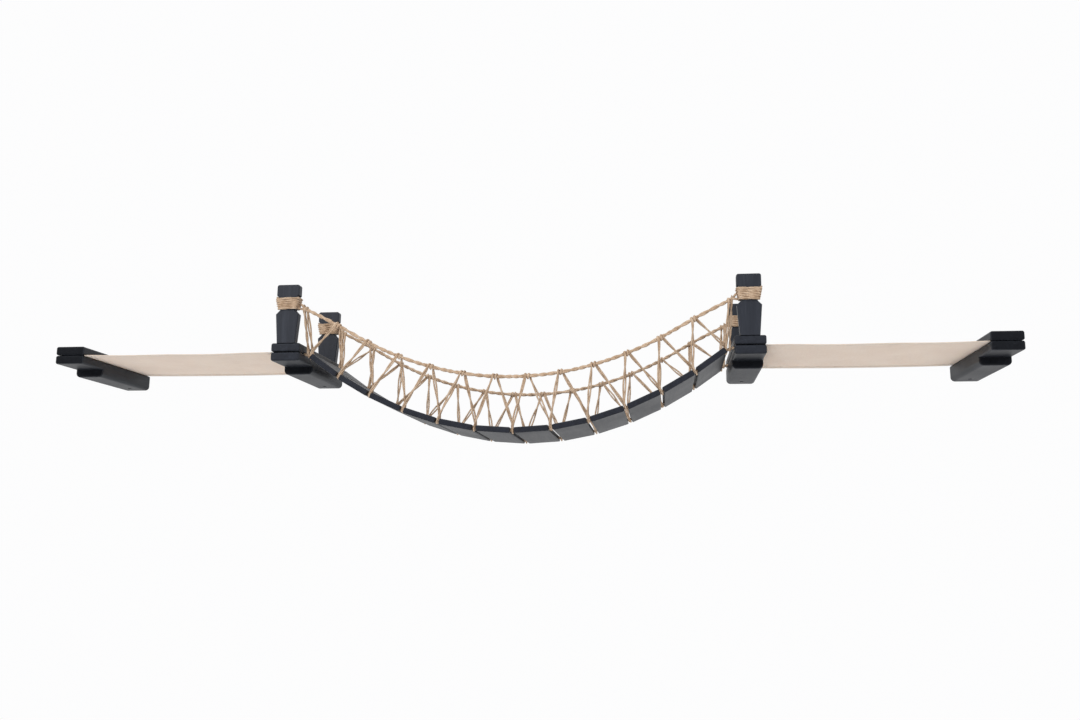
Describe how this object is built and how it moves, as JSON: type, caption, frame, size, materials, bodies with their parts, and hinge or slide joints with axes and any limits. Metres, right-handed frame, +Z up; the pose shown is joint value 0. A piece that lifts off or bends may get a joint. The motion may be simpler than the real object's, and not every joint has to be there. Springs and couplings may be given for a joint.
{
  "type": "cat wall bridge",
  "caption": "Wall-mounted cat bridge: dark wooden planks hung on rope between two post towers, with a canvas runner on each side held by clamped wooden arms.",
  "frame": {"origin": "on the wall plane, midway along the bridge, at the top of the support arms where the canvas lies", "axes": "+X along the wall to the right as seen from the room, +Y into the wall, +Z up"},
  "size_m": [1.96, 0.2857, 0.3132],
  "materials": {
    "black_wood": "satin black stain",
    "canvas": "natural cotton canvas",
    "jute_rope": "twisted jute",
    "dark_steel": "black zinc",
    "screw_steel": "zinc plated"
  },
  "bodies": {
    "frame": {"arm_left_end": "black_wood", "clamp_bar_left_end": "black_wood", "wall_bracket_left_end": "dark_steel", "arm_left_tower": "black_wood", "clamp_bar_left_tower": "black_wood", "wall_bracket_left_tower": "dark_steel", "arm_right_tower": "black_wood", "clamp_bar_right_tower": "black_wood", "wall_bracket_right_tower": "dark_steel", "arm_right_end": "black_wood", "clamp_bar_right_end": "black_wood", "wall_bracket_right_end": "dark_steel", "canvas_left": "canvas", "post_left_front": "black_wood", "wrap_left_front": "jute_rope", "lashing_left_front": "jute_rope", "post_left_back": "black_wood", "wrap_left_back": "jute_rope", "lashing_left_back": "jute_rope", "canvas_right": "canvas", "post_right_front": "black_wood", "wrap_right_front": "jute_rope", "lashing_right_front": "jute_rope", "post_right_back": "black_wood", "wrap_right_back": "jute_rope", "lashing_right_back": "jute_rope", "carrier_front": "jute_rope", "handrail_front": "jute_rope", "lacing_front": "jute_rope", "carrier_back": "jute_rope", "handrail_back": "jute_rope", "lacing_back": "jute_rope", "clamp_screws": "screw_steel", "post_screws": "screw_steel", "locking_screws": "dark_steel"},
    "plank_01": {"plank_01": "black_wood"},
    "plank_02": {"plank_02": "black_wood"},
    "plank_03": {"plank_03": "black_wood"},
    "plank_04": {"plank_04": "black_wood"},
    "plank_05": {"plank_05": "black_wood"},
    "plank_06": {"plank_06": "black_wood"},
    "plank_07": {"plank_07": "black_wood"},
    "plank_08": {"plank_08": "black_wood"},
    "plank_09": {"plank_09": "black_wood"},
    "plank_10": {"plank_10": "black_wood"},
    "plank_11": {"plank_11": "black_wood"},
    "plank_12": {"plank_12": "black_wood"}
  },
  "joints": [
    {"name": "deck_sway", "type": "hinge", "parent": "frame", "child": "plank_01", "pos_m": [-0.4325, -0.144, 0.0006], "axis": [0, 1, 0], "range_deg": [-5, 5], "stiffness_Nm_per_rad": 2.5, "deforming": ["carrier_front", "handrail_front", "lacing_front", "carrier_back", "handrail_back", "lacing_back"]},
    {"name": "bend_02", "type": "hinge", "parent": "plank_01", "child": "plank_02", "pos_m": [-0.36563, -0.144, -0.04703], "axis": [0, 1, 0], "range_deg": [-1.31, 1.31]},
    {"name": "bend_03", "type": "hinge", "parent": "plank_02", "child": "plank_03", "pos_m": [-0.2985, -0.144, -0.08616], "axis": [0, 1, 0], "range_deg": [-2.27, 2.27]},
    {"name": "bend_04", "type": "hinge", "parent": "plank_03", "child": "plank_04", "pos_m": [-0.22773, -0.144, -0.11824], "axis": [0, 1, 0], "range_deg": [-2.62, 2.62]},
    {"name": "bend_05", "type": "hinge", "parent": "plank_04", "child": "plank_05", "pos_m": [-0.15381, -0.144, -0.14218], "axis": [0, 1, 0], "range_deg": [-2.27, 2.27]},
    {"name": "bend_06", "type": "hinge", "parent": "plank_05", "child": "plank_06", "pos_m": [-0.07754, -0.144, -0.15699], "axis": [0, 1, 0], "range_deg": [-1.31, 1.31]},
    {"name": "bend_07", "type": "hinge", "parent": "plank_08", "child": "plank_07", "pos_m": [0.07754, -0.144, -0.15699], "axis": [0, 1, 0], "range_deg": [-1.31, 1.31]},
    {"name": "bend_08", "type": "hinge", "parent": "plank_09", "child": "plank_08", "pos_m": [0.15381, -0.144, -0.14218], "axis": [0, 1, 0], "range_deg": [-2.27, 2.27]},
    {"name": "bend_09", "type": "hinge", "parent": "plank_10", "child": "plank_09", "pos_m": [0.22773, -0.144, -0.11824], "axis": [0, 1, 0], "range_deg": [-2.62, 2.62]},
    {"name": "bend_10", "type": "hinge", "parent": "plank_11", "child": "plank_10", "pos_m": [0.2985, -0.144, -0.08616], "axis": [0, 1, 0], "range_deg": [-2.27, 2.27]},
    {"name": "bend_11", "type": "hinge", "parent": "plank_12", "child": "plank_11", "pos_m": [0.36563, -0.144, -0.04703], "axis": [0, 1, 0], "range_deg": [-1.31, 1.31]},
    {"name": "bend_12", "type": "hinge", "parent": "frame", "child": "plank_12", "pos_m": [0.4325, -0.144, 0.0006], "axis": [0, 1, 0], "range_deg": [-5.1, 5.1]}
  ],
  "couplings": [
    {"joint": "bend_02", "follows": "deck_sway", "ratio": -0.25712},
    {"joint": "bend_03", "follows": "deck_sway", "ratio": -0.44535},
    {"joint": "bend_04", "follows": "deck_sway", "ratio": -0.51425},
    {"joint": "bend_05", "follows": "deck_sway", "ratio": -0.44535},
    {"joint": "bend_06", "follows": "deck_sway", "ratio": -0.25712},
    {"joint": "bend_07", "follows": "deck_sway", "ratio": -0.25712},
    {"joint": "bend_08", "follows": "deck_sway", "ratio": -0.44535},
    {"joint": "bend_09", "follows": "deck_sway", "ratio": -0.51425},
    {"joint": "bend_10", "follows": "deck_sway", "ratio": -0.44535},
    {"joint": "bend_11", "follows": "deck_sway", "ratio": -0.25712},
    {"joint": "bend_12", "follows": "deck_sway", "ratio": 1}
  ]
}
